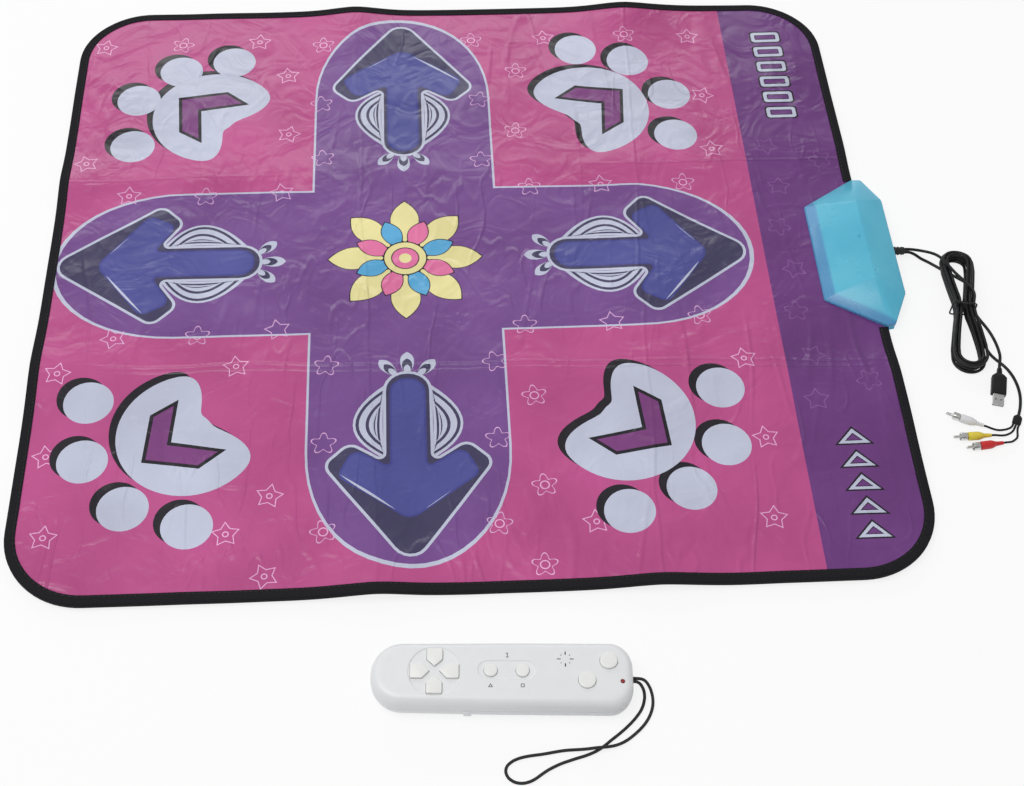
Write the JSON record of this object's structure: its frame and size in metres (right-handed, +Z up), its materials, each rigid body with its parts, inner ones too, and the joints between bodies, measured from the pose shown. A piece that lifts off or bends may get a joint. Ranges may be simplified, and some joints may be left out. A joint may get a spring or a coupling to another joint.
{
  "type": "dance mat controller",
  "caption": "Foot mat with sprung step zones, a receiver box and hanked leads on its right edge, and a hand-held key pad with a wrist lanyard.",
  "frame": {"origin": "on the floor, under the middle of the mat", "axes": "+Z up, +X towards the receiver's side of the mat, +Y away from the handset"},
  "size_m": [1.0575, 1.0437, 0.0321],
  "materials": {
    "top_sheet": "clear glossy PVC over a print",
    "zone_blue": "printed under clear glossy PVC",
    "zone_pale": "printed under clear glossy PVC",
    "zone_purple": "printed under clear glossy PVC",
    "bottom_sheet": "dull non-slip backing",
    "contact_film": "polyester film with printed tracks",
    "foam": "soft foam sheet",
    "binding": "woven tape, sewn",
    "receiver_cover": "translucent blue, faceted",
    "receiver_base": "translucent blue, satin",
    "circuit_board": "green solder mask",
    "screw": "plain",
    "grommet": "ribbed, matt",
    "lead": "smooth PVC jacket",
    "tie": "coated wire",
    "usb_plug": "moulded, satin",
    "plug_metal": "plated",
    "white_plug": "moulded, satin",
    "yellow_plug": "moulded, satin",
    "red_plug": "moulded, satin",
    "handset_shell": "smooth light grey",
    "handset_keys": "smooth light grey",
    "keypad_rubber": "matt",
    "battery": "printed sleeve",
    "speaker": "dark",
    "led": "red lens",
    "lanyard": "round braided cord"
  },
  "bodies": {
    "mat": {"bottom_sheet": "bottom_sheet", "lower_contact_film": "contact_film", "spacer_foam": "foam", "upper_contact_film": "contact_film", "top_sheet": "top_sheet", "edge_binding": "binding", "receiver_cover": "receiver_cover", "receiver_base": "receiver_base", "receiver_board": "circuit_board", "cable_grommet": "grommet", "receiver_screw_1": "screw", "receiver_screw_2": "screw", "receiver_screw_3": "screw", "receiver_screw_4": "screw", "usb_run": "lead", "usb_hank": "lead", "usb_tail": "lead", "av_run": "lead", "av_hank": "lead", "av_tail": "lead", "white_lead": "lead", "yellow_lead": "lead", "red_lead": "lead", "hank_tie": "tie", "usb_plug_body": "usb_plug", "usb_plug_shell": "plug_metal", "white_plug": "white_plug", "white_contact": "plug_metal", "yellow_plug": "yellow_plug", "yellow_contact": "plug_metal", "red_plug": "red_plug", "red_contact": "plug_metal"},
    "pad_up": {"pad_up": "zone_blue"},
    "pad_left": {"pad_left": "zone_blue"},
    "pad_down": {"pad_down": "zone_blue"},
    "pad_right": {"pad_right": "zone_blue"},
    "pad_corner_ne": {"pad_corner_ne": "zone_pale"},
    "pad_corner_nw": {"pad_corner_nw": "zone_pale"},
    "pad_corner_sw": {"pad_corner_sw": "zone_pale"},
    "pad_corner_se": {"pad_corner_se": "zone_pale"},
    "pad_select": {"pad_select": "zone_purple"},
    "pad_start": {"pad_start": "zone_purple"},
    "handset": {"handset_upper_shell": "handset_shell", "handset_lower_shell": "handset_shell", "battery_1": "battery", "battery_2": "battery", "handset_board": "circuit_board", "handset_keypad": "keypad_rubber", "handset_speaker": "speaker", "handset_led": "led", "wrist_lanyard": "lanyard"},
    "dpad_up": {"dpad_up": "handset_keys"},
    "dpad_left": {"dpad_left": "handset_keys"},
    "dpad_down": {"dpad_down": "handset_keys"},
    "dpad_right": {"dpad_right": "handset_keys"},
    "start_key": {"start_key": "handset_keys"},
    "select_key": {"select_key": "handset_keys"},
    "round_key_1": {"round_key_1": "handset_keys"},
    "round_key_2": {"round_key_2": "handset_keys"},
    "battery_cover": {"battery_cover": "handset_shell"}
  },
  "joints": [
    {"name": "pad_up_press", "type": "slide", "parent": "mat", "child": "pad_up", "axis": [0, 0, -1], "range_m": [0, 0.0007], "stiffness_N_per_m": 12000, "springref_m": -0.00005},
    {"name": "pad_left_press", "type": "slide", "parent": "mat", "child": "pad_left", "axis": [0, 0, -1], "range_m": [0, 0.0007], "stiffness_N_per_m": 12000, "springref_m": -0.00005},
    {"name": "pad_down_press", "type": "slide", "parent": "mat", "child": "pad_down", "axis": [0, 0, -1], "range_m": [0, 0.0007], "stiffness_N_per_m": 12000, "springref_m": -0.00005},
    {"name": "pad_right_press", "type": "slide", "parent": "mat", "child": "pad_right", "axis": [0, 0, -1], "range_m": [0, 0.0007], "stiffness_N_per_m": 12000, "springref_m": -0.00005},
    {"name": "pad_corner_ne_press", "type": "slide", "parent": "mat", "child": "pad_corner_ne", "axis": [0, 0, -1], "range_m": [0, 0.0007], "stiffness_N_per_m": 12000, "springref_m": -0.00005},
    {"name": "pad_corner_nw_press", "type": "slide", "parent": "mat", "child": "pad_corner_nw", "axis": [0, 0, -1], "range_m": [0, 0.0007], "stiffness_N_per_m": 12000, "springref_m": -0.00005},
    {"name": "pad_corner_sw_press", "type": "slide", "parent": "mat", "child": "pad_corner_sw", "axis": [0, 0, -1], "range_m": [0, 0.0007], "stiffness_N_per_m": 12000, "springref_m": -0.00005},
    {"name": "pad_corner_se_press", "type": "slide", "parent": "mat", "child": "pad_corner_se", "axis": [0, 0, -1], "range_m": [0, 0.0007], "stiffness_N_per_m": 12000, "springref_m": -0.00005},
    {"name": "pad_select_press", "type": "slide", "parent": "mat", "child": "pad_select", "axis": [0, 0, -1], "range_m": [0, 0.0007], "stiffness_N_per_m": 12000, "springref_m": -0.00005},
    {"name": "pad_start_press", "type": "slide", "parent": "mat", "child": "pad_start", "axis": [0, 0, -1], "range_m": [0, 0.0007], "stiffness_N_per_m": 12000, "springref_m": -0.00005},
    {"name": "handset_lift", "type": "slide", "parent": "mat", "child": "handset", "axis": [0, 0, 1], "range_m": [0, 0.3]},
    {"name": "dpad_up_press", "type": "slide", "parent": "handset", "child": "dpad_up", "axis": [0, 0, -1], "range_m": [0, 0.001], "stiffness_N_per_m": 1500, "springref_m": -0.00005},
    {"name": "dpad_left_press", "type": "slide", "parent": "handset", "child": "dpad_left", "axis": [0, 0, -1], "range_m": [0, 0.001], "stiffness_N_per_m": 1500, "springref_m": -0.00005},
    {"name": "dpad_down_press", "type": "slide", "parent": "handset", "child": "dpad_down", "axis": [0, 0, -1], "range_m": [0, 0.001], "stiffness_N_per_m": 1500, "springref_m": -0.00005},
    {"name": "dpad_right_press", "type": "slide", "parent": "handset", "child": "dpad_right", "axis": [0, 0, -1], "range_m": [0, 0.001], "stiffness_N_per_m": 1500, "springref_m": -0.00005},
    {"name": "start_key_press", "type": "slide", "parent": "handset", "child": "start_key", "axis": [0, 0, -1], "range_m": [0, 0.001], "stiffness_N_per_m": 1500, "springref_m": -0.00005},
    {"name": "select_key_press", "type": "slide", "parent": "handset", "child": "select_key", "axis": [0, 0, -1], "range_m": [0, 0.001], "stiffness_N_per_m": 1500, "springref_m": -0.00005},
    {"name": "round_key_1_press", "type": "slide", "parent": "handset", "child": "round_key_1", "axis": [0, 0, -1], "range_m": [0, 0.001], "stiffness_N_per_m": 1500, "springref_m": -0.00005},
    {"name": "round_key_2_press", "type": "slide", "parent": "handset", "child": "round_key_2", "axis": [0, 0, -1], "range_m": [0, 0.001], "stiffness_N_per_m": 1500, "springref_m": -0.00005},
    {"name": "battery_cover_slide", "type": "slide", "parent": "handset", "child": "battery_cover", "axis": [-0.9988, 0.0499, 0], "range_m": [0, 0.108]}
  ]
}
